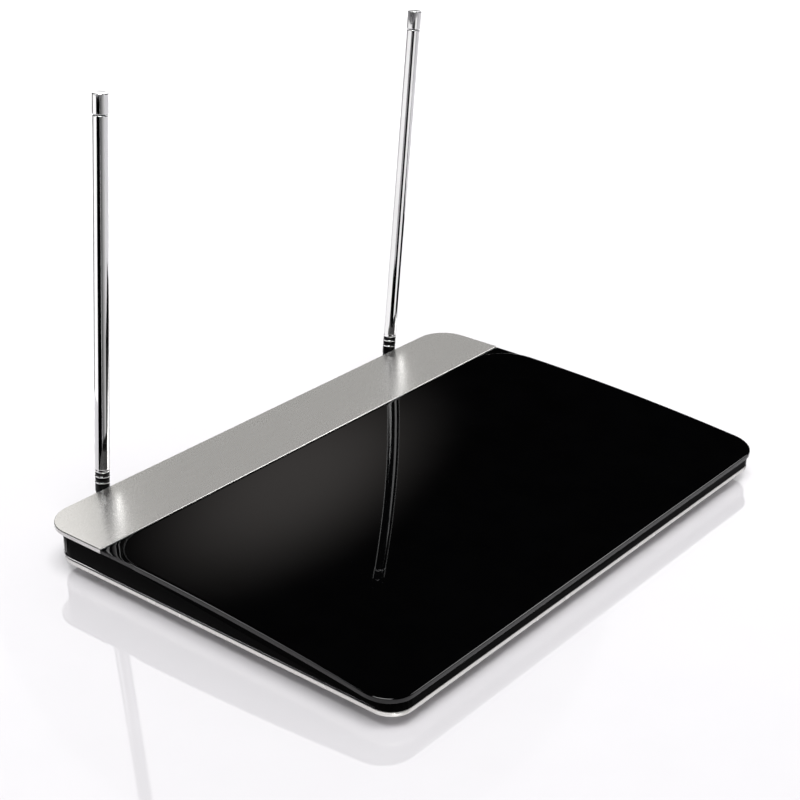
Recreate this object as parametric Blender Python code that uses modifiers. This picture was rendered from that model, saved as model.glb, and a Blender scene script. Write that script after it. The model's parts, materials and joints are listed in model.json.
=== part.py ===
"""Indoor television antenna: a thin wedge-shaped base with two telescopic rods.

Units are metres and +Z is up.  The base lies on its rubber feet at Z = 0, its
width runs along X and its thin front edge faces -Y.  The origin is the centre
of the whole object's box, at floor level.  The rods stand behind the rear edge,
each on a swivel that fans it about Y and a pinned knuckle that tilts it back.
"""
from math import cos, pi, radians, sin

import bmesh
import bpy
from mathutils import Euler, Matrix

# ---------------------------------------------------------------- driving sizes
WIDTH = 0.250                 # across the top plate and the rear trim
PLATE_DEPTH = 0.1411          # glossy top plate, front edge to seam
TRIM_DEPTH = 0.035            # metal rear trim, seam to rear edge
ROD_OVERHANG = 0.0075         # rearmost point of the swivels behind the trim
FOOT_DROP = 0.0053            # rubber feet below the base cover
BODY_HEIGHT = 0.0158          # base cover's underside to the flat top of the trim
FRONT_DROP = 0.0079           # how far the curved top falls to the front edge
SHEET = 0.002                 # top plate, rear trim and shell walls
SEAM = 0.0003                 # gap between touching pieces

SIDE_INSET = 0.003            # shell wall behind the plate edge, sides and rear
FRONT_INSET = 0.0008          # the same at the front
REAR_CORNER = 0.014           # corner radii of the top outline
FRONT_CORNER = 0.012
COVER_THICKNESS = 0.0016

PIVOT_X = 0.090               # fan axes, left and right of the middle
PIVOT_HEIGHT = 0.0078         # fan axes above the base cover's underside
EAR_RADIUS = 0.004            # rounded ears of the swivel fork
REST_LEAN = {"left": radians(4.9), "right": radians(6.4)}

TUBE_OUTER = (0.0030, 0.0025, 0.00205, 0.0016)   # tube radii, outermost first
TUBE_WALL = 0.00035
TIP_RADIUS = 0.0011
TUBE_BOTTOM = 0.0138          # outer tube along the rod, from the tilt pin
TUBE_TOP = 0.1570
CAP_RADIUS = 0.0032
CAP_BOTTOM = 0.1580
CAP_TOP = 0.1658

# ---------------------------------------------------------------- derived places
OVERALL_DEPTH = PLATE_DEPTH + TRIM_DEPTH + ROD_OVERHANG
FRONT_Y = -OVERALL_DEPTH / 2
SEAM_Y = FRONT_Y + PLATE_DEPTH
REAR_Y = SEAM_Y + TRIM_DEPTH
ROD_Y = REAR_Y + ROD_OVERHANG - EAR_RADIUS
WALL_Y = REAR_Y - SIDE_INSET
TOP_Z = FOOT_DROP + BODY_HEIGHT
PIVOT_Z = FOOT_DROP + PIVOT_HEIGHT
COVER_TOP = FOOT_DROP + COVER_THICKNESS
SHELL_BOTTOM = COVER_TOP + SEAM
BOARD_BOTTOM = FOOT_DROP + 0.0057
BOARD_THICKNESS = 0.0012
BOARD_TOP = BOARD_BOTTOM + BOARD_THICKNESS
SCREW_SPOTS = [(x, y) for x in (-0.112, 0.112) for y in (-0.064, -0.008, 0.056)]
FOOT_SPOTS = [(x, y) for y in (-0.070, 0.068) for x in (-0.098, 0.098)]
BOARD_SPOTS = [(x, y) for y in (-0.012, 0.058) for x in (-0.062, 0.062)]
PEG_SPOTS = [(x, 0.024) for x in (-0.040, 0.040)]
SOCKET_Z = FOOT_DROP + 0.0080
SOCKET_MOUTH = 0.0028         # cable socket behind the trim's rear edge
PEG_TOP = FOOT_DROP + 0.0042
FOOT_RECESS = 0.0005
CASE_BORE_TOP = FOOT_DROP + 0.0048
BOARD_BORE_TOP = FOOT_DROP + 0.0094
ABOVE = 0.03                  # well clear of the top, for cutters
SOCKET_RADIUS = 0.00475


# ---------------------------------------------------------------- scene helpers
def clear_objects():
    for item in list(bpy.data.objects):
        bpy.data.objects.remove(item, do_unlink=True)


def new_collection(name):
    group = bpy.data.collections.new(name)
    bpy.context.scene.collection.children.link(group)
    return group


def material(name, color, roughness, metallic=0.0):
    made = bpy.data.materials.new(name)
    made.use_nodes = True
    shader = made.node_tree.nodes["Principled BSDF"]
    shader.inputs["Base Color"].default_value = (*color, 1.0)
    shader.inputs["Roughness"].default_value = roughness
    shader.inputs["Metallic"].default_value = metallic
    return made


def place(item, name, group, surface=None, location=(0, 0, 0), rotation=(0, 0, 0), parent=None):
    """Name an object, put it in one collection and set its material and place."""
    item.name = name
    item.data.name = name
    for holder in list(item.users_collection):
        holder.objects.unlink(item)
    group.objects.link(item)
    item.location = location
    item.rotation_euler = rotation
    item.parent = parent
    if surface:
        item.data.materials.clear()
        item.data.materials.append(surface)
    return item


def object_from_bmesh(shape):
    mesh = bpy.data.meshes.new("shape")
    shape.to_mesh(mesh)
    shape.free()
    mesh.shade_smooth()
    mesh.set_sharp_from_angle(angle=radians(30))
    return bpy.data.objects.new("shape", mesh)


def cylinder(radius, depth, segments=20):
    """Cylinder about Z, from Z = 0 up to its depth."""
    shape = bmesh.new()
    bmesh.ops.create_cone(shape, cap_ends=True, segments=segments, radius1=radius,
                          radius2=radius, depth=depth)
    bmesh.ops.translate(shape, verts=shape.verts, vec=(0, 0, depth / 2))
    return object_from_bmesh(shape)


def box(low, high):
    shape = bmesh.new()
    bmesh.ops.create_cube(shape, size=1)
    size = [b - a for a, b in zip(low, high)]
    middle = [(a + b) / 2 for a, b in zip(low, high)]
    bmesh.ops.scale(shape, verts=shape.verts, vec=size)
    bmesh.ops.translate(shape, verts=shape.verts, vec=middle)
    return object_from_bmesh(shape)


def turned(profile, closed=False, segments=20):
    """Turn (radius, height) points about Z; they run down the outer side."""
    mesh = bpy.data.meshes.new("profile")
    count = len(profile)
    edges = [(i, i + 1) for i in range(count - 1)]
    if closed:
        edges.append((count - 1, 0))
    mesh.from_pydata([(radius, 0, height) for radius, height in profile], edges, [])
    item = bpy.data.objects.new("profile", mesh)
    screw = item.modifiers.new("turn", "SCREW")
    screw.steps = segments
    screw.render_steps = segments
    screw.use_merge_vertices = True
    screw.merge_threshold = 0.00001
    screw.use_smooth_shade = True
    return item


def baked(item):
    """Mesh copy of an object as its modifiers or its curve shape it."""
    bpy.context.scene.collection.objects.link(item)
    seen = item.evaluated_get(bpy.context.evaluated_depsgraph_get())
    shape = bmesh.new()
    shape.from_mesh(bpy.data.meshes.new_from_object(seen))
    bmesh.ops.remove_doubles(shape, verts=shape.verts, dist=0.000001)
    bpy.data.objects.remove(item, do_unlink=True)
    return object_from_bmesh(shape)


def slab(points, thickness):
    """Flat outline in XY, centred on Z = 0, as a mesh."""
    curve = bpy.data.curves.new("outline", "CURVE")
    curve.dimensions = "2D"
    curve.fill_mode = "BOTH"
    curve.extrude = thickness / 2
    line = curve.splines.new("POLY")
    line.points.add(len(points) - 1)
    for point, (x, y) in zip(line.points, points):
        point.co = (x, y, 0, 1)
    line.use_cyclic_u = True
    return baked(bpy.data.objects.new("outline", curve))


def shifted(item, offset=(0, 0, 0), turn=None):
    """Move or turn a shape's own points, leaving its object at the origin."""
    spin = Euler(turn).to_matrix().to_4x4() if turn else Matrix()
    item.data.transform(Matrix.Translation(offset) @ spin)
    return item


def combine(item, tool, operation):
    """Apply an exact Boolean of two shapes and drop the tool."""
    bpy.context.scene.collection.objects.link(tool)
    change = item.modifiers.new(operation.lower(), "BOOLEAN")
    change.operation = operation
    change.solver = "EXACT"
    change.object = tool
    result = baked(item)
    bpy.data.objects.remove(tool, do_unlink=True)
    return result


def cut(item, *tools):
    for tool in tools:
        item = combine(item, tool, "DIFFERENCE")
    return item


def join(item, *tools):
    for tool in tools:
        item = combine(item, tool, "UNION")
    return item


# ---------------------------------------------------------------- shared outlines
def corner_arc(x, y, radius, start, steps=7):
    """Quarter circle inside the corner at (x, y), from a start quarter turn."""
    centre_x = x - radius * (1 if start in (0, 3) else -1)
    centre_y = y - radius * (1 if start in (0, 1) else -1)
    angles = [(start + step / steps) * pi / 2 for step in range(steps + 1)]
    return [(centre_x + radius * cos(a), centre_y + radius * sin(a)) for a in angles]


def base_outline(side, front, rear, front_corner, rear_corner):
    """Plan of the base inset by given amounts; a corner radius of 0 is sharp."""
    half = WIDTH / 2 - side
    low = FRONT_Y + front
    high = REAR_Y - rear
    points = []
    corners = ((half, high, rear_corner, 0), (-half, high, rear_corner, 1),
               (-half, low, front_corner, 2), (half, low, front_corner, 3))
    for x, y, radius, start in corners:
        points += corner_arc(x, y, radius, start) if radius else [(x, y)]
    return points


def top_height(y):
    """Height of the outer top: flat at the trim, then falling towards the front."""
    ahead = max(0.0, SEAM_Y - y)
    return TOP_Z - FRONT_DROP * (ahead / PLATE_DEPTH) ** 2


def curved_top_points(front, rear, lower, steps=10):
    """Side view points of the top surface lowered by a distance, front to rear."""
    points = [(FRONT_Y + front, top_height(FRONT_Y + front) - lower)]
    for step in range(1, steps + 1):
        y = FRONT_Y + front + (SEAM_Y - FRONT_Y - front) * step / steps
        points.append((y, top_height(y) - lower))
    if rear > SEAM_Y:
        points.append((rear, TOP_Z - lower))
    return points


def side_extrusion(points):
    """Side view outline of (y, z) points drawn out across the whole width."""
    spread = slab(points, WIDTH + 0.01)
    return shifted(spread, turn=(pi / 2, 0, pi / 2))


def wedge(inset, front_inset, bottom, lower, front_corner, rear_corner):
    """Block of the base between a floor height and the lowered top surface."""
    margin = 0.002
    top = curved_top_points(-margin, REAR_Y + margin, lower)
    side = [(REAR_Y + margin, bottom), (FRONT_Y - margin, bottom)]
    block = side_extrusion(top[::-1] + side[::-1])
    plan = slab(base_outline(inset, front_inset, inset, front_corner, rear_corner), 0.1)
    return combine(block, plan, "INTERSECT")


# ---------------------------------------------------------------- base pieces
def make_top_plate():
    top = curved_top_points(0.0, SEAM_Y, 0.0)
    under = curved_top_points(0.0, SEAM_Y, SHEET)
    sheet = side_extrusion(top[::-1] + under)
    plan = slab(base_outline(0, 0, TRIM_DEPTH + SEAM, FRONT_CORNER, 0), 0.1)
    return combine(sheet, plan, "INTERSECT")


def make_rear_trim():
    outline = [(WIDTH / 2, SEAM_Y)] + base_outline(0, 0, 0, 0, REAR_CORNER)[:-2]
    outline.append((-WIDTH / 2, SEAM_Y))
    return shifted(slab(outline, SHEET), (0, 0, TOP_Z - SHEET / 2))


def upright(radius, low, high, spot, segments=16):
    return shifted(cylinder(radius, high - low, segments), (*spot, low))


def through_wall(radius, x, z, depth=0.008):
    """Cylinder along Y through the rear wall."""
    return shifted(cylinder(radius, depth), (x, WALL_Y - depth / 2, z), (-pi / 2, 0, 0))


def socket_slot():
    """Arched slot for the cable socket, open at the bottom of the rear wall."""
    radius = SOCKET_RADIUS + 0.00015
    angles = [pi * step / 16 for step in range(17)]
    outline = [(radius * cos(a), radius * sin(a)) for a in angles]
    outline += [(-radius, -0.010), (radius, -0.010)]
    return shifted(slab(outline, 0.0095), (0, WALL_Y, SOCKET_Z), (pi / 2, 0, 0))


def make_body_shell():
    outer = wedge(SIDE_INSET, FRONT_INSET, SHELL_BOTTOM, SHEET + SEAM,
                  FRONT_CORNER - SIDE_INSET, REAR_CORNER - SIDE_INSET)
    inset = SIDE_INSET + SHEET
    hollow = wedge(inset, FRONT_INSET + SHEET, -0.01, 2 * SHEET + SEAM,
                   FRONT_CORNER - inset, REAR_CORNER - inset)
    shell = cut(outer, hollow)
    for spot in SCREW_SPOTS:
        roof = top_height(spot[1]) - 1.5 * SHEET - SEAM
        shell = join(shell, upright(0.003, SHELL_BOTTOM, roof, spot))
        shell = cut(shell, upright(0.0015, 0, CASE_BORE_TOP, spot, 12))
    for spot in BOARD_SPOTS:
        roof = top_height(spot[1]) - 1.5 * SHEET - SEAM
        shell = join(shell, upright(0.0026, BOARD_TOP + SEAM, roof, spot))
        shell = cut(shell, upright(0.0012, 0, BOARD_BORE_TOP, spot, 12))
    holes = [through_wall(0.0036, side * PIVOT_X, PIVOT_Z) for side in (-1, 1)]
    return cut(shell, *holes, socket_slot())


def make_base_cover():
    outline = base_outline(SIDE_INSET, FRONT_INSET, SIDE_INSET,
                           FRONT_CORNER - SIDE_INSET, REAR_CORNER - SIDE_INSET)
    cover = shifted(slab(outline, COVER_THICKNESS), (0, 0, FOOT_DROP + COVER_THICKNESS / 2))
    for spot in SCREW_SPOTS:
        cover = cut(cover, upright(0.0030, 0, FOOT_DROP + 0.0009, spot),
                    upright(0.0017, 0, ABOVE, spot, 12))
    for spot in FOOT_SPOTS:
        cover = cut(cover, upright(0.0063, 0, FOOT_DROP + FOOT_RECESS, spot, 20))
    for spot in PEG_SPOTS:
        cover = join(cover, upright(0.0018, COVER_TOP - 0.0004, PEG_TOP, spot))
    return cover


def make_ballast_plate():
    low = (-0.070, -0.020)
    high = (0.070, 0.066)
    plate = box((*low, COVER_TOP + SEAM), (*high, COVER_TOP + SEAM + 0.002))
    return cut(plate, *[upright(0.0021, 0, ABOVE, spot) for spot in PEG_SPOTS])


def make_board():
    board = box((-0.096, -0.020, BOARD_BOTTOM), (0.096, 0.0715, BOARD_TOP))
    holes = [upright(0.0016, 0, ABOVE, spot, 12) for spot in BOARD_SPOTS]
    return cut(board, *holes)


def make_screw(head_radius, head_height, shank_radius, length):
    """Pan-head screw pointing up, with its head's underside at Z = 0."""
    return turned([(0, length), (shank_radius * 0.6, length), (shank_radius, length - 0.0004),
                   (shank_radius, 0), (head_radius, 0), (head_radius, -head_height * 0.6),
                   (head_radius * 0.8, -head_height), (0, -head_height)], segments=16)


def make_coax_socket():
    """Barrel of the cable socket, drawn along +Z with its mouth at Z = 0."""
    chamfer = 0.0006
    return turned([(0.0031, 0), (SOCKET_RADIUS - chamfer, 0), (SOCKET_RADIUS, -chamfer),
                   (SOCKET_RADIUS, -0.0104), (0.0031, -0.0104)], closed=True)


def make_coax_insulator():
    return turned([(0.0009, -0.0006), (0.0028, -0.0006), (0.0028, -0.0108),
                   (0.0009, -0.0108)], closed=True)


def make_coax_contact():
    return turned([(0, -0.0080), (0.0004, -0.0080), (0.0004, -0.0010), (0.0007, -0.0010),
                   (0.0007, -0.0178), (0, -0.0178)], segments=12)


# ---------------------------------------------------------------- swivel and rod
def across(radius, width, segments=20):
    """Cylinder along X, centred on the origin."""
    return shifted(cylinder(radius, width, segments), (-width / 2, 0, 0), (0, pi / 2, 0))


FORK_HALF = 0.0033            # half width over the fork's ears
TONGUE_HALF = 0.0015
EAR_GAP = 0.0018              # half width of the slot between the ears
PIN_RADIUS = 0.0010
PIN_HOLE = 0.00115
FLANGE_FRONT = WALL_Y + 0.0012     # swivel flange, clear of the bush's flange
FLANGE_REAR = WALL_Y + 0.0028
JOURNAL_END = WALL_Y - 0.0058
CLIP_Y = WALL_Y - 0.0048
WASHER_Y = WALL_Y - 0.0040
JOURNAL_RADIUS = 0.0025
GROOVE_RADIUS = 0.0019


def make_pivot_bush():
    """Flanged bearing in the rear wall, along +Z with Z = 0 on the wall's face."""
    return turned([(0.0028, 0.0010), (0.0046, 0.0010), (0.0046, 0.0002), (0.0034, 0.0002),
                   (0.0034, -0.0032), (0.0028, -0.0032)], closed=True)


def make_swivel():
    """Journal and forked head in the fan frame: the tilt pin at the origin."""
    flange_rear = FLANGE_REAR - ROD_Y
    flange_front = FLANGE_FRONT - ROD_Y
    groove = CLIP_Y - ROD_Y
    end = JOURNAL_END - ROD_Y
    journal = turned([(0, flange_rear), (0.0040, flange_rear), (0.0044, flange_rear - 0.0004),
                      (0.0044, flange_front), (JOURNAL_RADIUS, flange_front),
                      (JOURNAL_RADIUS, groove + 0.0007), (GROOVE_RADIUS, groove + 0.0007),
                      (GROOVE_RADIUS, groove), (JOURNAL_RADIUS, groove),
                      (JOURNAL_RADIUS, end), (0, end)])
    head = join(across(EAR_RADIUS, 2 * FORK_HALF),
                box((-FORK_HALF, flange_rear - 0.0004, -0.0030), (FORK_HALF, 0, 0.0030)))
    slot = box((-EAR_GAP, flange_rear, -0.010), (EAR_GAP, 0.010, 0.010))
    head = cut(head, slot, across(PIN_HOLE, 0.010, 16))
    return join(shifted(baked(journal), turn=(-pi / 2, 0, 0)), head)


def make_clip():
    """Retaining ring in the journal's groove."""
    return turned([(0.0021, 0.0006), (0.0034, 0.0006), (0.0034, 0.0001),
                   (0.0021, 0.0001)], closed=True)


def make_washer():
    """Spring washer between the bush and the retaining ring."""
    return turned([(0.0028, 0.0006), (0.0035, 0.0006), (0.0035, 0.0002),
                   (0.0028, 0.0002)], closed=True)


RING_SPOTS = {"lower": 0.0094, "upper": 0.0120}
RING_HALF = 0.0003
NECK_RADIUS = 0.0029
GROOVE_DEPTH = 0.0003


def make_rod_socket():
    """Knuckle of the rod: tongue on the pin, ringed neck and spigot."""
    neck = [(0, TUBE_BOTTOM + 0.0077), (0.0020, TUBE_BOTTOM + 0.0077),
            (0.0024, TUBE_BOTTOM + 0.0073), (0.0024, TUBE_BOTTOM - SEAM),
            (NECK_RADIUS, TUBE_BOTTOM - SEAM)]
    for height in (RING_SPOTS["upper"], RING_SPOTS["lower"]):
        for level in (height + RING_HALF + 0.0001, height - RING_HALF - 0.0001):
            edge = [(NECK_RADIUS, level), (NECK_RADIUS - GROOVE_DEPTH, level)]
            neck += edge if level > height else edge[::-1]
    neck += [(NECK_RADIUS, 0.0049), (0.0023, 0.0043), (0, 0.0043)]
    tongue = join(across(0.0032, 2 * TONGUE_HALF),
                  box((-TONGUE_HALF, -0.0024, 0), (TONGUE_HALF, 0.0024, 0.0050)))
    tongue = cut(tongue, across(PIN_HOLE, 0.010, 16))
    return join(baked(turned(neck)), tongue)


def make_ring(height):
    inner = NECK_RADIUS - GROOVE_DEPTH + 0.0001
    outer = NECK_RADIUS + 0.0002
    low, high = height - RING_HALF, height + RING_HALF
    return turned([(inner, high), (outer, high), (outer, low), (inner, low)], closed=True)


def make_tube(index):
    """One thin-walled section with a rolled mouth; the inner ones stand a hair higher."""
    outer = TUBE_OUTER[index]
    inner = outer - TUBE_WALL
    top = TUBE_TOP + 0.00022 * index
    bottom = TUBE_BOTTOM if index == 0 else TUBE_BOTTOM + 0.0086 + 0.001 * index
    return turned([(inner, top), (outer - 0.0002, top), (outer, top - 0.0003),
                   (outer, bottom), (inner, bottom)], closed=True)


def make_tip_rod():
    bottom = TUBE_BOTTOM + 0.0086 + 0.001 * len(TUBE_OUTER)
    top = CAP_BOTTOM + 0.0037
    return turned([(0, top), (TIP_RADIUS, top), (TIP_RADIUS, bottom), (0, bottom)], segments=16)


def make_tip_cap():
    bore = TIP_RADIUS + 0.00015
    return turned([(0, CAP_TOP), (0.0014, CAP_TOP - 0.0001), (0.0026, CAP_TOP - 0.0006),
                   (CAP_RADIUS, CAP_TOP - 0.0016), (CAP_RADIUS, CAP_BOTTOM + 0.0006),
                   (0.0026, CAP_BOTTOM), (bore, CAP_BOTTOM), (bore, CAP_BOTTOM + 0.0040),
                   (0, CAP_BOTTOM + 0.0040)])


def make_contact_spring():
    """Bronze strip from the board to the journal's end, drawn as its (y, z) edge."""
    foot_y = 0.0640
    back_y = JOURNAL_END - 0.0003
    low = BOARD_TOP + SEAM
    sheet = 0.0004
    outline = [(foot_y, low), (back_y, low), (back_y, low + 0.0028),
               (back_y - sheet, low + 0.0028), (back_y - sheet, low + sheet),
               (foot_y, low + sheet)]
    return shifted(slab(outline, 0.004), turn=(pi / 2, 0, pi / 2))


# ---------------------------------------------------------------- assembly
def materials():
    return {
        "gloss_black": material("gloss_black", (0.012, 0.012, 0.013), 0.08),
        "satin_metal": material("satin_metal", (0.62, 0.61, 0.60), 0.32, 1.0),
        "grey_plastic": material("grey_plastic", (0.55, 0.56, 0.57), 0.45),
        "black_plastic": material("black_plastic", (0.018, 0.018, 0.018), 0.35),
        "chrome": material("chrome", (0.80, 0.80, 0.80), 0.08, 1.0),
        "rubber": material("rubber", (0.030, 0.030, 0.030), 0.85),
        "zinc_steel": material("zinc_steel", (0.60, 0.60, 0.58), 0.35, 1.0),
        "board_green": material("board_green", (0.020, 0.150, 0.060), 0.50),
        "bronze": material("bronze", (0.62, 0.42, 0.20), 0.30, 1.0),
        "white_plastic": material("white_plastic", (0.80, 0.80, 0.78), 0.40),
    }


def build_base(group, looks):
    place(make_top_plate(), "top_plate", group, looks["gloss_black"])
    place(make_rear_trim(), "rear_trim", group, looks["satin_metal"])
    place(make_body_shell(), "body_shell", group, looks["gloss_black"])
    place(make_base_cover(), "base_cover", group, looks["grey_plastic"])
    place(make_ballast_plate(), "ballast_plate", group, looks["zinc_steel"])
    place(make_board(), "circuit_board", group, looks["board_green"])
    can = box((-0.008, 0.0470, BOARD_TOP + SEAM), (0.008, 0.0590, BOARD_TOP + SEAM + 0.0034))
    place(can, "balun_can", group, looks["zinc_steel"])
    for number, (x, y) in enumerate(FOOT_SPOTS, 1):
        crown = FOOT_DROP + FOOT_RECESS - SEAM
        foot = turned([(0, crown), (0.0060, crown), (0.0060, FOOT_DROP), (0.0054, 0), (0, 0)])
        place(foot, f"foot_{number}", group, looks["rubber"], (x, y, 0))
    for number, (x, y) in enumerate(SCREW_SPOTS, 1):
        screw = make_screw(0.0026, 0.0006, 0.0012, 0.0036)
        place(screw, f"case_screw_{number}", group, looks["zinc_steel"],
              (x, y, FOOT_DROP + 0.0006))
    for number, (x, y) in enumerate(BOARD_SPOTS, 1):
        screw = make_screw(0.0020, 0.0004, 0.0009, 0.0034)
        place(screw, f"board_screw_{number}", group, looks["zinc_steel"],
              (x, y, BOARD_BOTTOM - 0.00008))


def build_coax_socket(group, looks):
    mouth = (0, REAR_Y + SOCKET_MOUTH, SOCKET_Z)
    along_y = (-pi / 2, 0, 0)
    place(make_coax_socket(), "coax_socket", group, looks["zinc_steel"], mouth, along_y)
    place(make_coax_insulator(), "coax_insulator", group, looks["white_plastic"], mouth, along_y)
    place(make_coax_contact(), "coax_contact", group, looks["bronze"], mouth, along_y)


def build_rod(side, group, looks):
    """One rod with its swivel; everything that fans hangs on a leaning empty."""
    x = -PIVOT_X if side == "left" else PIVOT_X
    along_y = (-pi / 2, 0, 0)
    place(make_pivot_bush(), f"pivot_bush_{side}", group, looks["black_plastic"],
          (x, WALL_Y, PIVOT_Z), along_y)
    place(make_washer(), f"spring_washer_{side}", group, looks["zinc_steel"],
          (x, WASHER_Y, PIVOT_Z), along_y)
    place(make_contact_spring(), f"contact_spring_{side}", group, looks["bronze"], (x, 0, 0))

    pivot = bpy.data.objects.new(f"fan_pivot_{side}", None)
    group.objects.link(pivot)
    pivot.location = (x, ROD_Y, PIVOT_Z)
    pivot.rotation_euler = (0, REST_LEAN[side], 0)

    def hang(item, name, surface, location=(0, 0, 0), rotation=(0, 0, 0)):
        place(item, f"{name}_{side}", group, looks[surface], location, rotation, pivot)

    hang(make_swivel(), "swivel", "black_plastic")
    hang(make_clip(), "retaining_ring", "zinc_steel", (0, CLIP_Y - ROD_Y, 0), along_y)
    hang(across(PIN_RADIUS, 2 * FORK_HALF, 16), "tilt_pin", "zinc_steel")
    hang(make_rod_socket(), "rod_socket", "black_plastic")
    for level, height in RING_SPOTS.items():
        hang(make_ring(height), f"{level}_ring", "chrome")
    for index in range(len(TUBE_OUTER)):
        hang(make_tube(index), f"tube_{index + 1}", "chrome")
    hang(make_tip_rod(), "tip_rod", "chrome")
    hang(make_tip_cap(), "tip_cap", "chrome")


def main():
    clear_objects()
    group = new_collection("rabbit_ears_antenna")
    looks = materials()
    build_base(group, looks)
    build_coax_socket(group, looks)
    for side in ("left", "right"):
        build_rod(side, group, looks)


main()
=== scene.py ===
"""Looks for the rabbit ears antenna: glossy wedge base and two telescopic rods.

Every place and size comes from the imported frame, in metres.  The detailed pieces
stand in the space of the CAD nodes that they replace and ride on the same bodies.
"""
import json
from math import atan2, cos, pi, radians, sin

import bmesh
import bpy
from mathutils import Matrix, Vector


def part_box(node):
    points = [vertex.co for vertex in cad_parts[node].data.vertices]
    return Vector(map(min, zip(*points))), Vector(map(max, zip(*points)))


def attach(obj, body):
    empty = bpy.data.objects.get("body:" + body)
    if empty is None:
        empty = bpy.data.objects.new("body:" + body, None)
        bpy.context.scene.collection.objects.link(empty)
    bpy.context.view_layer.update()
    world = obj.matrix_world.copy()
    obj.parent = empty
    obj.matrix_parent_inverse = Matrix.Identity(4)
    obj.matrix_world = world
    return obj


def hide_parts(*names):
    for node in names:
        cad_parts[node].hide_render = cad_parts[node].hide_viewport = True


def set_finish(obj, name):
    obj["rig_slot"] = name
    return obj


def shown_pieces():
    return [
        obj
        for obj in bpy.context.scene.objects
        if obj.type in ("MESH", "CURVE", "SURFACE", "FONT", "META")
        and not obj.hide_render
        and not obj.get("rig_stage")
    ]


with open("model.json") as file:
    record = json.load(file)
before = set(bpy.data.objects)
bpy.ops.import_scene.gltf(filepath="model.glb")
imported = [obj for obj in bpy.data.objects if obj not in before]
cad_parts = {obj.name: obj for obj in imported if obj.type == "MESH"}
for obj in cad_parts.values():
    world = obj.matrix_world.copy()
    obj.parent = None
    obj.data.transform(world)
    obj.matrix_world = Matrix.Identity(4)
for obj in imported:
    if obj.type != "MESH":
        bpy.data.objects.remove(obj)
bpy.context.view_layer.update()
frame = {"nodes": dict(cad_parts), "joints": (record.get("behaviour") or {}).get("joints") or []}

MM = 0.001
SIDES = ("left", "right")
JOINTS = {joint["name"]: joint for joint in frame["joints"]}

# ------------------------------------------------------------------ places read from the frame
plate_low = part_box("top_plate")[0]
trim_low, trim_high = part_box("rear_trim")
shell_low, shell_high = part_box("body_shell")
cover_low, cover_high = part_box("base_cover")
TOP_Z = trim_high.z
HALF = trim_high.x
FRONT_Y = plate_low.y
SEAM_Y = trim_low.y
REAR_Y = trim_high.y
SHEET = trim_high.z - trim_low.z
PLATE_DEPTH = SEAM_Y - FRONT_Y
FRONT_DROP = TOP_Z - (plate_low.z + SHEET)
SEAM = 0.3 * MM                  # gap between the plate and the trim
FRONT_CORNER = 12 * MM           # corner radii of the top outline
REAR_CORNER = 14 * MM
FIELD_CORNER = 19 * MM           # raised field, where it meets the trim
RIM_CORNER = 11.9 * MM           # thin rim sheet under the raised field
RIM_INSET = 0.12 * MM
RIM_DROP = 0.45 * MM
FLAT_MARGIN = 1.5 * MM           # flat strip inside a sheet's rounded edge
COVER_FRONT_CORNER = 9 * MM
COVER_REAR_CORNER = 11 * MM
OUTLINE_BAND = 1.5 * MM          # how near the cover's outline an edge gets rounded
BEAD_RISE = 0.6 * MM             # bead above the foot of the walls
BEAD_RADIUS = 0.22 * MM
BEAD_SIDES = 10
BEAD_END = 0.15                  # share of the bead's size left at its two ends
THREAD_PITCH = 0.8 * MM
THREAD_DEPTH = 0.32 * MM
THREAD_SEGMENTS = 64

# ------------------------------------------------------------------ camera and light constants
CAMERA_AT = Vector((-0.4808, -0.4336, 0.3199))   # from the seam, at the trim's top
CAMERA_RIGHT = Vector((0.63271, -0.77437, 0.00442))
CAMERA_UP = Vector((0.32618, 0.27168, 0.90543))
LENS_MM = 76.36
SENSOR_MM = 36


# ------------------------------------------------------------------ node material helpers
class Nodes:
    """Small helper round one material's node tree."""

    def __init__(self, name):
        self.material = bpy.data.materials.new(name)
        self.material.use_nodes = True
        self.tree = self.material.node_tree
        self.shader = self.tree.nodes["Principled BSDF"]
        self.coords = self.add("ShaderNodeTexCoord").outputs["Object"]

    def add(self, kind, **settings):
        node = self.tree.nodes.new(kind)
        for key, value in settings.items():
            setattr(node, key, value)
        return node

    def link(self, source, target):
        self.tree.links.new(source, target)

    def stretched(self, scale):
        mapping = self.add("ShaderNodeMapping")
        mapping.inputs["Scale"].default_value = scale
        self.link(self.coords, mapping.inputs["Vector"])
        return mapping.outputs["Vector"]

    def noise(self, scale, detail=4.0, stretch=None, rough=0.55):
        node = self.add("ShaderNodeTexNoise")
        node.inputs["Scale"].default_value = scale
        node.inputs["Detail"].default_value = detail
        node.inputs["Roughness"].default_value = rough
        self.link(self.stretched(stretch) if stretch else self.coords, node.inputs["Vector"])
        return node.outputs["Fac"]

    def ranged(self, value, low, high, start=0.3, end=0.7):
        node = self.add("ShaderNodeMapRange")
        for socket, number in zip(("From Min", "From Max", "To Min", "To Max"),
                                  (start, end, low, high)):
            node.inputs[socket].default_value = number
        self.link(value, node.inputs["Value"])
        return node.outputs["Result"]

    def mixed(self, factor, first, second):
        node = self.add("ShaderNodeMix", data_type="RGBA")
        node.inputs["A"].default_value = (*first, 1)
        node.inputs["B"].default_value = (*second, 1)
        self.link(factor, node.inputs["Factor"])
        return node.outputs["Result"]

    def bumped(self, height, strength, distance, below=None):
        node = self.add("ShaderNodeBump")
        node.inputs["Strength"].default_value = strength
        node.inputs["Distance"].default_value = distance
        self.link(height, node.inputs["Height"])
        if below:
            self.link(below, node.inputs["Normal"])
        return node.outputs["Normal"]

    def put(self, **sockets):
        """Set or link shader sockets; underscores stand for spaces."""
        for key, value in sockets.items():
            socket = self.shader.inputs[key.replace("_", " ")]
            if isinstance(value, bpy.types.NodeSocket):
                self.link(value, socket)
            else:
                socket.default_value = value
        return self.material


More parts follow.
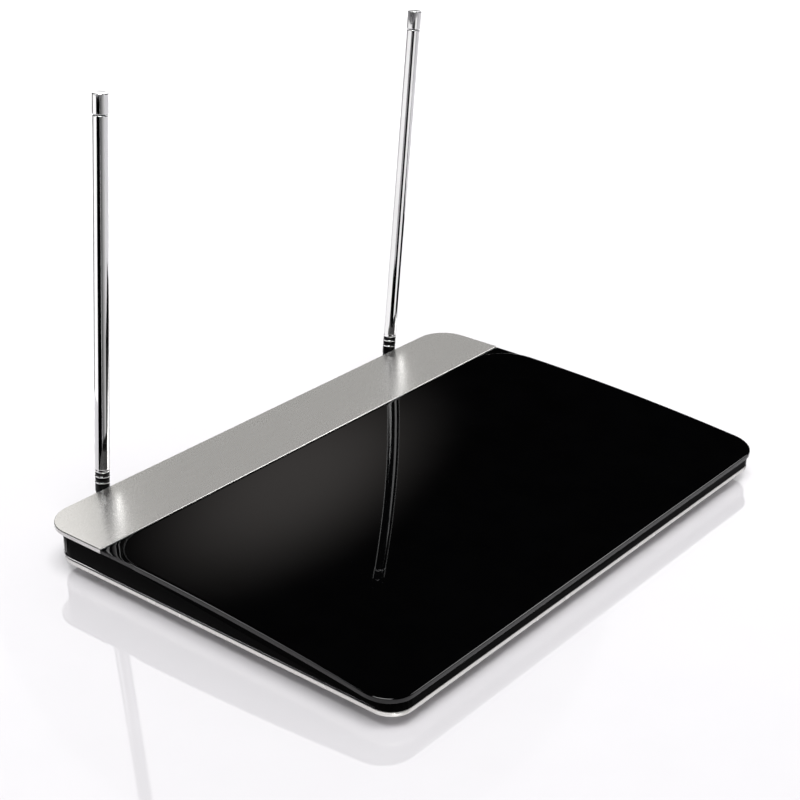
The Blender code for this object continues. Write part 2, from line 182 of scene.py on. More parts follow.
def gloss_black(name, color, rough, specular):
    """Polished black plastic: faint moulding waves, dust and hairline marks."""
    n = Nodes(name)
    smear = n.ranged(n.noise(22, 5), *rough)
    tint = n.mixed(n.ranged(n.noise(60, 6), 0, 1), color, tuple(c * 1.5 for c in color))
    wave = n.bumped(n.noise(28, 1), 0.02, 0.0004)
    scratch = n.bumped(n.noise(900, 2, (1, 0.02, 1)), 0.006, 0.0001, wave)
    return n.put(Base_Color=tint, Roughness=smear, Normal=scratch, IOR=1.5,
                 Specular_IOR_Level=specular)


def satin_metal():
    """Fine-grained satin aluminium, lightly brushed along the width."""
    n = Nodes("satin_metal")
    grain = n.noise(2600, 3)
    brushed = n.noise(1500, 4, (0.06, 1, 1))
    tone = n.mixed(n.ranged(brushed, 0, 1), (0.68, 0.67, 0.655), (0.72, 0.71, 0.695))
    rough = n.ranged(grain, 0.24, 0.31)
    fine = n.bumped(grain, 0.10, 0.00005)
    normal = n.bumped(brushed, 0.02, 0.00003, fine)
    return n.put(Base_Color=tone, Roughness=rough, Normal=normal, Metallic=1.0)


def chrome(name="chrome"):
    """Bright plated tube with draw marks along it and a few rubbed patches."""
    n = Nodes(name)
    drawn = n.noise(1500, 3, (1, 1, 0.02))
    patch = n.noise(40, 4)
    tone = n.mixed(n.ranged(patch, 0, 1), (0.80, 0.80, 0.805), (0.88, 0.88, 0.885))
    rough = n.ranged(drawn, 0.05, 0.11)
    normal = n.bumped(drawn, 0.03, 0.00004)
    return n.put(Base_Color=tone, Roughness=rough, Normal=normal, Metallic=1.0)


def silver_paint():
    """Light metallic paint of the base cover, with fine flake and uneven gloss."""
    n = Nodes("grey_plastic")
    flake = n.noise(5200, 2)
    tone = n.mixed(n.ranged(flake, 0, 1), (0.74, 0.73, 0.715), (0.86, 0.85, 0.835))
    return n.put(Base_Color=tone, Roughness=n.ranged(n.noise(60, 4), 0.20, 0.30),
                 Normal=n.bumped(flake, 0.04, 0.00003), Metallic=0.25)


def moulded(name, color, rough, grain=900, depth=0.12, varied=0.25, specular=0.5):
    """Moulded plastic or rubber with a spark-eroded grain and slight colour drift."""
    n = Nodes(name)
    texture = n.noise(grain, 3)
    drift = n.ranged(n.noise(35, 4), 0, 1)
    tone = n.mixed(drift, tuple(c * (1 - varied) for c in color), color)
    sheen = n.ranged(texture, rough * 0.85, min(1.0, rough * 1.15))
    return n.put(Base_Color=tone, Roughness=sheen, Normal=n.bumped(texture, depth, 0.0001),
                 Specular_IOR_Level=specular)


def plated(name, color, rough=0.3):
    """Plated or rolled metal: mottled tone and uneven polish."""
    n = Nodes(name)
    mottle = n.noise(420, 5)
    tone = n.mixed(n.ranged(mottle, 0, 1), tuple(c * 0.8 for c in color), color)
    return n.put(Base_Color=tone, Roughness=n.ranged(mottle, rough * 0.7, rough * 1.3),
                 Normal=n.bumped(n.noise(1800, 2), 0.08, 0.00005), Metallic=1.0)


def board_green():
    """Solder mask over printed tracks."""
    n = Nodes("board_green")
    tracks = n.add("ShaderNodeTexBrick")
    tracks.inputs["Scale"].default_value = 60
    tracks.inputs["Mortar Size"].default_value = 0.06
    tracks.inputs["Color1"].default_value = (0.012, 0.10, 0.04, 1)
    tracks.inputs["Color2"].default_value = (0.015, 0.13, 0.05, 1)
    tracks.inputs["Mortar"].default_value = (0.03, 0.22, 0.09, 1)
    n.link(n.coords, tracks.inputs["Vector"])
    return n.put(Base_Color=tracks.outputs["Color"],
                 Roughness=n.ranged(n.noise(300), 0.3, 0.5),
                 Normal=n.bumped(tracks.outputs["Fac"], 0.4, 0.00003))


LOOKS = {
    "gloss_black": gloss_black("gloss_black", (0.0008, 0.0008, 0.0009), (0.012, 0.035), 0.5),
    "shell_black": gloss_black("shell_black", (0.0010, 0.0010, 0.0010), (0.03, 0.07), 0.01),
    "satin_metal": satin_metal(),
    "grey_plastic": silver_paint(),
    "black_plastic": moulded("black_plastic", (0.004, 0.004, 0.004), 0.22, 1400, 0.05,
                             specular=0.15),
    "chrome": chrome(),
    "rubber": moulded("rubber", (0.028, 0.028, 0.029), 0.8, 1600, 0.35),
    "zinc_steel": plated("zinc_steel", (0.62, 0.62, 0.60)),
    "board_green": board_green(),
    "bronze": plated("bronze", (0.66, 0.44, 0.20), 0.28),
    "white_plastic": moulded("white_plastic", (0.80, 0.80, 0.77), 0.38),
}


# ------------------------------------------------------------------ mesh helpers
def piece(name, shape, body, look, nodes=(), bend=30, weighted=True, soften=0.0, finish=None):
    """Turn a bmesh in row coordinates into a finished piece of the object."""
    bmesh.ops.recalc_face_normals(shape, faces=shape.faces)
    mesh = bpy.data.meshes.new(name)
    shape.to_mesh(mesh)
    shape.free()
    mesh.shade_smooth()
    mesh.set_sharp_from_angle(angle=radians(bend))
    item = bpy.data.objects.new(name, mesh)
    bpy.context.scene.collection.objects.link(item)
    mesh.materials.append(LOOKS[finish or look])
    if soften:
        bevel = item.modifiers.new("soften", "BEVEL")
        bevel.width = soften
        bevel.segments = 3
        bevel.limit_method = "ANGLE"
        bevel.angle_limit = radians(bend)
        bevel.harden_normals = True
    elif weighted:
        item.modifiers.new("normals", "WEIGHTED_NORMAL").keep_sharp = True
    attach(item, body)
    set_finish(item, look)
    if nodes:
        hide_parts(*nodes)
    return item


def arc(centre, radius, start, end, steps):
    """Points of an arc in a profile, angles in degrees."""
    return [(centre[0] + radius * cos(radians(start + (end - start) * i / steps)),
             centre[1] + radius * sin(radians(start + (end - start) * i / steps)))
            for i in range(steps + 1)]


def lathe(shape, profile, matrix=Matrix(), segments=64, closed=False):
    """Add a profile of (radius, height) points turned about Z."""
    rings = []
    for radius, height in profile:
        if radius < 1e-7:
            rings.append([shape.verts.new(matrix @ Vector((0, 0, height)))])
            continue
        rings.append([shape.verts.new(matrix @ Vector((radius * cos(2 * pi * i / segments),
                                                       radius * sin(2 * pi * i / segments),
                                                       height)))
                      for i in range(segments)])
    pairs = list(zip(rings, rings[1:]))
    if closed:
        pairs.append((rings[-1], rings[0]))
    for low, high in pairs:
        for i in range(segments):
            k = (i + 1) % segments
            corners = []
            for vert in (low[i % len(low)], low[k % len(low)],
                         high[k % len(high)], high[i % len(high)]):
                if vert not in corners:
                    corners.append(vert)
            if len(corners) > 2:
                shape.faces.new(corners)
    return shape


def block(shape, low, high, matrix=Matrix(), bevel=0.0, segments=3):
    """Add a box, with its edges rounded, between two corners."""
    made = bmesh.ops.create_cube(shape, size=1)["verts"]
    size = Vector(high) - Vector(low)
    middle = (Vector(high) + Vector(low)) / 2
    place = matrix @ Matrix.Translation(middle) @ Matrix.Diagonal((*size, 1))
    bmesh.ops.transform(shape, matrix=place, verts=made)
    if bevel:
        edges = {edge for vert in made for edge in vert.link_edges}
        bmesh.ops.bevel(shape, geom=list(edges), offset=bevel, segments=segments,
                        profile=0.5, affect="EDGES")
    return shape


def copied(node):
    """A bmesh of one CAD node, with its doubled points joined."""
    shape = bmesh.new()
    shape.from_mesh(frame["nodes"][node].data)
    bmesh.ops.remove_doubles(shape, verts=shape.verts, dist=1e-6)
    return shape


def top_height(y):
    """Height of the plate, which curves down from the seam to the front edge."""
    ahead = max(0.0, SEAM_Y - y)
    return TOP_Z - FRONT_DROP * (ahead / PLATE_DEPTH) ** 2


def plan_rows(half, front, rear, front_radius, rear_radius, straight=22, steps=8):
    """Rows of a rounded plan: (y, half width, side normal), front to rear."""
    rows = []
    if front_radius > 0:
        for i in range(steps):
            a = radians(90 * i / steps)
            rows.append((front + front_radius * (1 - cos(a)),
                         half - front_radius + front_radius * sin(a), (sin(a), -cos(a))))
    begin, end = front + front_radius, rear - rear_radius
    for i in range(straight + 1):
        y = begin + (end - begin) * i / straight
        side = (1, 0)
        if i == straight and not rear_radius:
            side = (1, 1)
        if i == 0 and not front_radius:
            side = (1, -1)
        rows.append((y, half, side))
    if rear_radius > 0:
        for i in range(1, steps + 1):
            a = radians(90 * i / steps)
            rows.append((rear - rear_radius + rear_radius * sin(a),
                         half - rear_radius + rear_radius * cos(a), (cos(a), sin(a))))
    return rows


def sheet(shape, half, front, rear, front_radius, rear_radius, profile, height, columns=30):
    """Add a closed rounded sheet whose edge follows (inset, drop) points, top to bottom."""
    inset = profile[0][0]
    rows = plan_rows(half - inset, front + inset, rear - inset,
                     max(front_radius - inset, 0), max(rear_radius - inset, 0))
    last = len(rows) - 1

    def normal(row, column):
        side = rows[row][2]
        if column in (0, columns):
            return Vector((side[0] * (1 if column else -1), side[1]))
        return Vector((0, -1 if row == 0 else 1))

    def grid(step):
        depth, lower = profile[step]
        made = {}
        for row, (y, wide, _) in enumerate(rows):
            for column in range(columns + 1):
                place = Vector((wide * (2 * column / columns - 1), y))
                edge = row in (0, last) or column in (0, columns)
                if edge:
                    place += normal(row, column) * (inset - depth)
                elif step:
                    continue
                made[row, column] = shape.verts.new((place.x, place.y,
                                                     height(place.y) - lower))
        return made

    loop = ([(0, c) for c in range(columns)] + [(r, columns) for r in range(last)]
            + [(last, c) for c in range(columns, 0, -1)] + [(r, 0) for r in range(last, 0, -1)])
    rings = [grid(step) for step in range(len(profile))]
    top = rings[0]
    for row in range(last):
        for column in range(columns):
            shape.faces.new([top[row, column], top[row, column + 1],
                             top[row + 1, column + 1], top[row + 1, column]])
    for upper, lower in zip(rings, rings[1:]):
        for a, b in zip(loop, loop[1:] + loop[:1]):
            shape.faces.new([upper[a], lower[a], lower[b], upper[b]])
    bottom = rings[-1]
    for row in range(last):
        shape.faces.new([bottom[row, 0], bottom[row + 1, 0],
                         bottom[row + 1, columns], bottom[row, columns]]
                        if 0 < row < last - 1 else
                        [bottom[row, 0], bottom[row + 1, 0]]
                        + ([bottom[row + 1, c] for c in range(1, columns)]
                           if row + 1 == last else [])
                        + [bottom[row + 1, columns], bottom[row, columns]]
                        + ([bottom[row, c] for c in range(columns - 1, 0, -1)]
                           if row == 0 else []))
    return shape


def rounded_edge(inset, thickness, top_radius, low_radius, steps=4):
    """Edge profile of a sheet: flat margin, rounded top edge, wall, rounded low edge."""
    points = [(inset, 0.0)] if inset > top_radius else []
    for i in range(steps + 1):
        a = radians(90 * i / steps)
        points.append((top_radius * (1 - sin(a)), top_radius * (1 - cos(a))))
    for i in range(steps + 1):
        a = radians(90 * i / steps)
        points.append((low_radius * (1 - cos(a)), thickness - low_radius * (1 - sin(a))))
    return points


# ------------------------------------------------------------------ base
def build_top():
    """Glossy plate, as a raised round-cornered field on a thin rim, and the satin trim."""
    shape = bmesh.new()
    sheet(shape, HALF - RIM_INSET, FRONT_Y + RIM_INSET, SEAM_Y - SEAM, RIM_CORNER, 0,
          rounded_edge(FLAT_MARGIN, SHEET - RIM_DROP - 0.1 * MM, 0.3 * MM, 0.2 * MM),
          lambda y: top_height(y) - RIM_DROP)
    sheet(shape, HALF, FRONT_Y, SEAM_Y - SEAM, FRONT_CORNER, FIELD_CORNER,
          [(1.2 * MM, 0.0), (0.62 * MM, 0.015 * MM), (0.34 * MM, 0.07 * MM),
           (0.15 * MM, 0.17 * MM), (0.04 * MM, 0.31 * MM), (0.0, 0.48 * MM),
           (0.0, SHEET - 0.25 * MM), (0.07 * MM, SHEET - 0.07 * MM), (0.25 * MM, SHEET)],
          top_height)
    piece("plate_field", shape, "base", "gloss_black", ["top_plate"])

    shape = bmesh.new()
    sheet(shape, HALF, SEAM_Y, REAR_Y, 0, REAR_CORNER,
          rounded_edge(FLAT_MARGIN, SHEET, 0.4 * MM, 0.3 * MM), lambda y: TOP_Z)
    piece("trim_sheet", shape, "base", "satin_metal", ["rear_trim"])


COVER_HALF = cover_high.x
CORNERS = [(COVER_HALF, cover_high.y, COVER_REAR_CORNER),
           (COVER_HALF, cover_low.y, COVER_FRONT_CORNER)]


def near_outline(co):
    """True for points close to the base cover's outline."""
    x, near = abs(co.x), OUTLINE_BAND
    for corner_x, corner_y, radius in CORNERS:
        inward = -1 if corner_y > 0 else 1
        middle = Vector((corner_x - radius, corner_y + inward * radius))
        if x > middle.x and (co.y - middle.y) * inward < 0:
            return (Vector((x, co.y)) - middle).length > radius - near
    return (x > COVER_HALF - near or co.y > cover_high.y - near
            or co.y < cover_low.y + near)


def wall_bead(shape):
    """Bright bead along the foot of the side and rear walls, open at the front."""
    level, radius = shell_low.z + BEAD_RISE, BEAD_RADIUS
    path = []
    half, rear, front = shell_high.x, shell_high.y, shell_low.y
    rear_radius, front_radius = COVER_REAR_CORNER, COVER_FRONT_CORNER
    for side in (-1, 1):
        part = [(side * half, front + front_radius)]
        part += [(side * (half - rear_radius + rear_radius * cos(radians(a))),
                  rear - rear_radius + rear_radius * sin(radians(a)))
                 for a in range(0, 91, 6)]
        path += part if side < 0 else part[::-1]
    section = [(radius * cos(2 * pi * i / BEAD_SIDES), radius * sin(2 * pi * i / BEAD_SIDES))
               for i in range(BEAD_SIDES)]
    rings = []
    for i, (x, y) in enumerate(path):
        before, after = path[max(i - 1, 0)], path[min(i + 1, len(path) - 1)]
        along = Vector((after[0] - before[0], after[1] - before[1])).normalized()
        out = Vector((-along.y, along.x))
        size = BEAD_END if i in (0, len(path) - 1) else 1.0
        rings.append([shape.verts.new((x + out.x * a * size, y + out.y * a * size,
                                       level + b * size)) for a, b in section])
    for one, two in zip(rings, rings[1:]):
        for i in range(BEAD_SIDES):
            k = (i + 1) % BEAD_SIDES
            shape.faces.new([one[i], one[k], two[k], two[i]])
    shape.faces.new(rings[0])
    shape.faces.new(rings[-1])


def build_shell():
    """Housing walls, the pale cover tray and the bead between them."""
    piece("shell_walls", copied("body_shell"), "base", "gloss_black", ["body_shell"],
          soften=0.2 * MM, finish="shell_black")

    shape = copied("base_cover")
    rounded = [edge for edge in shape.edges
               if all(vert.co.z < cover_low.z + 0.1 * MM and near_outline(vert.co)
                      for vert in edge.verts)]
    bmesh.ops.bevel(shape, geom=rounded, offset=0.35 * MM, segments=4, profile=0.5,
                    affect="EDGES", clamp_overlap=True)
    piece("cover_tray", shape, "base", "grey_plastic", ["base_cover"])
    bead = bmesh.new()
    wall_bead(bead)
    piece("wall_bead", bead, "base", "chrome")


def upright(node):
    """Radius, height and frame of a round upright node, from its foot."""
    low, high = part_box(node)
    place = Matrix.Translation(((low.x + high.x) / 2, (low.y + high.y) / 2, low.z))
    return (high.x - low.x) / 2, high.z - low.z, place


def build_feet():
    """Ribbed rubber pads with a hollow sole."""
    for number in range(1, 5):
        node = f"foot_{number}"
        radius, tall, place = upright(node)
        profile = [(0, tall), (radius, tall), (radius, tall - 1.2 * MM),
                   (radius - 0.35 * MM, tall - 1.5 * MM)]
        for i in range(3):
            level = tall - (1.9 + 1.2 * i) * MM
            profile += [(radius - 0.35 * MM, level), (radius - 0.55 * MM, level - 0.2 * MM),
                        (radius - 0.55 * MM, level - 0.45 * MM),
                        (radius - 0.35 * MM, level - 0.65 * MM)]
        profile += [(radius - 0.5 * MM, 0.5 * MM), (radius - 0.7 * MM, 0.15 * MM),
                    (radius - 1.1 * MM, 0), (radius * 0.55, 0), (radius * 0.5, 0.35 * MM),
                    (0, 0.35 * MM)]
        piece(f"foot_pad_{number}", lathe(bmesh.new(), profile, place), "base", "rubber",
              [node], bend=40)


def build_case_screws():
    """Screws with a round recessed head and a cross in it."""
    for number in range(1, 7):
        node = f"case_screw_{number}"
        radius, tall, place = upright(node)
        shank = 1.15 * MM
        head = 0.6 * MM
        profile = [(0, tall), (shank * 0.5, tall), (shank, tall - 0.5 * MM), (shank, head),
                   (radius, head), (radius, head * 0.5), (radius * 0.85, head * 0.15),
                   (radius * 0.6, 0.0), (0.95 * MM, 0.0), (0.75 * MM, 0.35 * MM),
                   (0, 0.42 * MM)]
        shape = lathe(bmesh.new(), profile, place, 32)
        for turn in (0, pi / 2):
            block(shape, (-0.95 * MM, -0.16 * MM, 0.03 * MM), (0.95 * MM, 0.16 * MM, 0.3 * MM),
                  place @ Matrix.Rotation(turn, 4, "Z"), 0.04 * MM, 1)
        piece(f"cross_screw_{number}", shape, "base", "zinc_steel", [node])


def level_barrel(node):
    """Radius, length, rear end and frame of a round node that points to the rear."""
    low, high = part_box(node)
    end_middle = ((low.x + high.x) / 2, high.y, (low.z + high.z) / 2)
    place = Matrix.Translation(end_middle) @ Matrix.Rotation(-pi / 2, 4, "X")
    return (high.x - low.x) / 2, high.y - low.y, high.y, place


def build_socket():
    """Threaded cable socket and its insulator."""
    radius, length, end, place = level_barrel("coax_socket")
    out = end - shell_high.y
    bore = 3.1 * MM
    profile = [(bore, -0.4 * MM), (bore + 0.25 * MM, 0), (radius - 0.55 * MM, 0),
               (radius - 0.3 * MM, -0.3 * MM), (radius - 0.3 * MM, -out - 0.4 * MM),
               (radius, -out - 0.4 * MM), (radius, -length), (bore, -length)]
    shape = lathe(bmesh.new(), profile, place, closed=True)
    thread_ridge(shape, place, radius, -out + 1.0 * MM, -0.5 * MM)
    piece("threaded_socket", shape, "base", "zinc_steel", ["coax_socket"], bend=50)

    radius, length, end, place = level_barrel("coax_insulator")
    profile = [(0.9 * MM, -0.15 * MM), (1.1 * MM, 0), (1.6 * MM, 0), (1.75 * MM, -0.2 * MM),
               (2.2 * MM, -0.2 * MM), (2.35 * MM, 0), (radius - 0.1 * MM, 0),
               (radius, -0.1 * MM), (radius, -length), (0.9 * MM, -length)]
    piece("socket_insulator", lathe(bmesh.new(), profile, place, closed=True), "base",
          "white_plastic", ["coax_insulator"])


def thread_ridge(shape, place, radius, low, high):
    """Helical ridge standing on the socket's barrel."""
    root = radius - THREAD_DEPTH
    previous = None
    count = int((high - low) / THREAD_PITCH * THREAD_SEGMENTS)
    section = ((-0.30, 0.0), (-0.08, 1.0), (0.08, 1.0), (0.30, 0.0))
    for i in range(count + 1):
        angle = 2 * pi * i / THREAD_SEGMENTS
        height = low + (high - low) * i / count
        rise = THREAD_DEPTH * min(1.0, i / 12, (count - i) / 12)
        ring = [shape.verts.new(place @ Vector(((root + rise * up) * cos(angle),
                                                (root + rise * up) * sin(angle),
                                                height + along * THREAD_PITCH)))
                for along, up in section]
        if previous:
            for k in range(len(section)):
                m = (k + 1) % len(section)
                shape.faces.new([previous[k], previous[m], ring[m], ring[k]])
        else:
            shape.faces.new(ring)
        previous = ring
    shape.faces.new(previous[::-1])


# ------------------------------------------------------------------ rods
def rod_frame(side):
    """Matrix from rod coordinates (pin at the origin, rod up Z) to the row frame."""
    pin = Vector(JOINTS[f"fan_{side}"]["pos_m"])
    along = Vector(JOINTS[f"extend_2_{side}"]["axis"])
    return Matrix.Translation(pin) @ Matrix.Rotation(atan2(along.x, along.z), 4, "Y")


TUBE_OUTER = (3.0 * MM, 2.5 * MM, 2.05 * MM, 1.6 * MM)
TUBE_WALL = 0.35 * MM
TUBE_BOTTOM = 13.8 * MM
INNER_RISE = 8.6 * MM            # collapsed inner sections start this far above it
INNER_STEP = 1 * MM
MOUTH_RISE = 0.55 * MM           # rolled mouths stand a little proud of TUBE_TOP
MOUTH_STEP = 0.05 * MM
TUBE_TOP = 157.0 * MM
CAP_BOTTOM = 158.0 * MM
CAP_TOP = 165.8 * MM
CAP_RADIUS = 3.2 * MM
RINGS = {"lower": 9.4 * MM, "upper": 12.0 * MM}
NECK = 2.9 * MM
FORK_HALF = 3.3 * MM
TONGUE_HALF = 1.5 * MM


def tube_profile(index):
    """Wall of one telescopic tube, with a rolled mouth and, outermost, a pressed groove."""
    outer = TUBE_OUTER[index]
    inner = outer - TUBE_WALL
    top = TUBE_TOP + MOUTH_RISE + MOUTH_STEP * index
    bottom = TUBE_BOTTOM if index == 0 else TUBE_BOTTOM + INNER_RISE + INNER_STEP * index
    lip = 0.35 * MM
    mouth = arc((outer - lip, top - lip), lip, 90, 0, 5)
    points = [(inner, top)] + mouth
    if index == 0:
        points += [(outer, bottom + 1.6 * MM), (outer - 0.12 * MM, bottom + 1.45 * MM),
                   (outer - 0.12 * MM, bottom + 1.1 * MM), (outer, bottom + 0.95 * MM)]
    points += [(outer, bottom + 0.25 * MM), (outer - 0.2 * MM, bottom), (inner, bottom)]
    return points


def build_rod(side):
    """Tubes, tip, end cap, knuckle and bands of one rod."""
    place = rod_frame(side)
    rod = f"rod_{side}"
    for index in range(4):
        body = rod if index == 0 else f"section_{index + 1}_{side}"
        piece(f"section_tube_{index + 1}_{side}",
              lathe(bmesh.new(), tube_profile(index), place, closed=True), body, "chrome",
              [f"tube_{index + 1}_{side}"], bend=50)

    tip = f"section_5_{side}"
    bottom = TUBE_BOTTOM + INNER_RISE + 4 * INNER_STEP
    shape = lathe(bmesh.new(), [(0, CAP_BOTTOM + 3.7 * MM), (1.1 * MM, CAP_BOTTOM + 3.7 * MM),
                                (1.1 * MM, bottom + 0.3 * MM), (0.8 * MM, bottom), (0, bottom)],
                  place)
    piece(f"tip_wire_{side}", shape, tip, "chrome", [f"tip_rod_{side}"])

    crown = arc((CAP_RADIUS - 0.4 * MM, CAP_TOP - 0.4 * MM), 0.4 * MM, 90, 0, 6)
    profile = [(0, CAP_TOP)] + crown + [
        (CAP_RADIUS, CAP_BOTTOM + 0.35 * MM), (CAP_RADIUS - 0.08 * MM, CAP_BOTTOM + 0.1 * MM),
        (CAP_RADIUS - 0.25 * MM, CAP_BOTTOM),
        (1.25 * MM, CAP_BOTTOM), (1.25 * MM, CAP_BOTTOM + 4 * MM), (0, CAP_BOTTOM + 4 * MM)]
    piece(f"cap_{side}", lathe(bmesh.new(), profile, place), tip, "chrome",
          [f"tip_cap_{side}"], bend=40)

    neck = [(0, TUBE_BOTTOM + 7.7 * MM), (2.0 * MM, TUBE_BOTTOM + 7.7 * MM),
            (2.4 * MM, TUBE_BOTTOM + 7.3 * MM), (2.4 * MM, TUBE_BOTTOM - SEAM),
            (NECK - 0.15 * MM, TUBE_BOTTOM - SEAM), (NECK, TUBE_BOTTOM - SEAM - 0.15 * MM)]
    for height in (RINGS["upper"], RINGS["lower"]):
        neck += [(NECK, height + 0.55 * MM), (NECK - 0.1 * MM, height + 0.42 * MM),
                 (NECK - 0.3 * MM, height + 0.4 * MM), (NECK - 0.3 * MM, height - 0.4 * MM),
                 (NECK - 0.1 * MM, height - 0.42 * MM), (NECK, height - 0.55 * MM)]
    neck += [(NECK, 5.6 * MM), (NECK - 0.2 * MM, 5.1 * MM), (NECK - 0.6 * MM, 4.6 * MM),
             (2.1 * MM, 4.3 * MM), (0, 4.3 * MM)]
    shape = lathe(bmesh.new(), neck, place)
    across = Matrix.Rotation(pi / 2, 4, "Y")
    eye = arc((2.9 * MM, TONGUE_HALF - 0.3 * MM), 0.3 * MM, 90, 0, 4)
    eye += arc((2.9 * MM, -TONGUE_HALF + 0.3 * MM), 0.3 * MM, 0, -90, 4)
    lathe(shape, [(1.15 * MM, TONGUE_HALF)] + eye + [(1.15 * MM, -TONGUE_HALF)],
          place @ across, closed=True)
    block(shape, (-TONGUE_HALF, -2.4 * MM, 1.6 * MM), (TONGUE_HALF, 2.4 * MM, 4.8 * MM),
          place, 0.25 * MM)
    piece(f"knuckle_{side}", shape, rod, "black_plastic", [f"rod_socket_{side}"], bend=40)

    for level, height in RINGS.items():
        profile = [(NECK - 0.2 * MM, height + 0.28 * MM), (NECK + 0.06 * MM, height + 0.28 * MM),
                   (NECK + 0.17 * MM, height + 0.16 * MM), (NECK + 0.2 * MM, height),
                   (NECK + 0.17 * MM, height - 0.16 * MM), (NECK + 0.06 * MM, height - 0.28 * MM),
                   (NECK - 0.2 * MM, height - 0.28 * MM)]
        piece(f"{level}_band_{side}", lathe(bmesh.new(), profile, place, closed=True), rod,
              "chrome", [f"{level}_ring_{side}"], bend=40)


def build_swivel(side):
    """Forked swivel with rounded ears, and the pin with its riveted heads."""
    swivel = f"swivel_{side}"
    piece(f"fork_{side}", copied(swivel), swivel, "black_plastic", [swivel],
          soften=0.22 * MM, bend=40)
    place = rod_frame(side) @ Matrix.Rotation(pi / 2, 4, "Y")
    end = FORK_HALF
    profile = [(0, end + 0.05 * MM), (0.45 * MM, end + 0.03 * MM), (0.8 * MM, end - 0.1 * MM),
               (1.0 * MM, end - 0.3 * MM), (1.0 * MM, -end + 0.3 * MM),
               (0.8 * MM, -end + 0.1 * MM), (0.45 * MM, -end - 0.03 * MM), (0, -end - 0.05 * MM)]
    piece(f"rivet_pin_{side}", lathe(bmesh.new(), profile, place, 48), swivel, "zinc_steel",
          [f"tilt_pin_{side}"])


build_top()
build_shell()
build_feet()
build_case_screws()
build_socket()
for rod_side in SIDES:
    build_swivel(rod_side)
    build_rod(rod_side)

# CAD nodes that stay as they are get the same procedural finishes.
for node in frame["nodes"].values():
    if node.hide_render:
        continue
    for place_in_list in range(len(node.data.materials)):
        held = node.data.materials[place_in_list]
        key = next((k for k in LOOKS if held and held.name.startswith(k)), None)
        if key:
            node.data.materials[place_in_list] = LOOKS[key]


# ------------------------------------------------------------------ studio
def stage_mesh(name, vertices, faces, material, camera=True, glossy=True, diffuse=True):
    """A mesh of the studio, and the kinds of ray that meet it."""
    mesh = bpy.data.meshes.new(name)
    mesh.from_pydata(vertices, [], faces)
    item = bpy.data.objects.new(name, mesh)
    bpy.context.scene.collection.objects.link(item)
    mesh.materials.append(material)
    item.visible_camera = camera
    item.visible_glossy = glossy
    item.visible_diffuse = diffuse
    item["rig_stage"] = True
    return item


def floor_material():
    """Pale polished floor with a slight unevenness."""
    n = Nodes("pale_floor")
    speck = n.noise(40, 3)
    return n.put(Base_Color=n.mixed(n.ranged(speck, 0, 1), (0.79, 0.775, 0.80),
                                    (0.80, 0.785, 0.81)),
                 Roughness=n.ranged(speck, 0.035, 0.05), IOR=1.5)


def glowing(name, color, strength, radius=None):
    """Emission, fading out from the object's own origin where a radius is given."""
    material = bpy.data.materials.new(name)
    material.use_nodes = True
    tree = material.node_tree
    tree.nodes.clear()
    output = tree.nodes.new("ShaderNodeOutputMaterial")
    light = tree.nodes.new("ShaderNodeEmission")
    light.inputs["Color"].default_value = (*color, 1)
    light.inputs["Strength"].default_value = strength
    tree.links.new(light.outputs[0], output.inputs[0])
    if radius:
        coords = tree.nodes.new("ShaderNodeTexCoord")
        length = tree.nodes.new("ShaderNodeVectorMath")
        length.operation = "LENGTH"
        fade = tree.nodes.new("ShaderNodeMapRange")
        fade.interpolation_type = "SMOOTHERSTEP"
        fade.inputs["From Min"].default_value = 0
        fade.inputs["From Max"].default_value = radius
        fade.inputs["To Min"].default_value = strength
        fade.inputs["To Max"].default_value = 0
        tree.links.new(coords.outputs["Object"], length.inputs[0])
        tree.links.new(length.outputs["Value"], fade.inputs["Value"])
        tree.links.new(fade.outputs["Result"], light.inputs["Strength"])
    return material


def near_only(material, nearest, farthest):
    """Let a card be met only from its inner side, from about one distance."""
    tree = material.node_tree
    light = next(node for node in tree.nodes if node.type == "EMISSION")
    output = next(node for node in tree.nodes if node.type == "OUTPUT_MATERIAL")
    path = tree.nodes.new("ShaderNodeLightPath")
    offset = tree.nodes.new("ShaderNodeMath")
    offset.operation = "COMPARE"
    offset.inputs[1].default_value = (nearest + farthest) / 2
    offset.inputs[2].default_value = (farthest - nearest) / 2
    clear = tree.nodes.new("ShaderNodeBsdfTransparent")
    mix = tree.nodes.new("ShaderNodeMixShader")
    tree.links.new(path.outputs["Ray Length"], offset.inputs[0])
    facing = tree.nodes.new("ShaderNodeNewGeometry")
    both = tree.nodes.new("ShaderNodeMath")
    both.operation = "MULTIPLY"
    tree.links.new(offset.outputs[0], both.inputs[0])
    tree.links.new(facing.outputs["Backfacing"], both.inputs[1])
    tree.links.new(both.outputs[0], mix.inputs[0])
    tree.links.new(clear.outputs[0], mix.inputs[1])
    tree.links.new(light.outputs[0], mix.inputs[2])
    tree.links.new(mix.outputs[0], output.inputs[0])
    return material


def only_for(light, *items):
    """Let a light reach only some of the objects."""
    group = bpy.data.collections.new(light.name + "_receivers")
    for item in items:
        group.objects.link(item)
    light.light_linking.receiver_collection = group


def area(name, at, look_at, width, height, radiance, color=(1, 1, 1)):
    """A panel light that the camera does not see, facing a point."""
    data = bpy.data.lights.new(name, "AREA")
    data.shape = "RECTANGLE"
    data.size, data.size_y = width, height
    data.energy = radiance * pi * width * height
    data.color = color
    item = bpy.data.objects.new(name, data)
    item.location = at
    item.rotation_euler = (Vector(look_at) - Vector(at)).to_track_quat("-Z", "Y").to_euler()
    bpy.context.scene.collection.objects.link(item)
    item.visible_camera = False
    return item


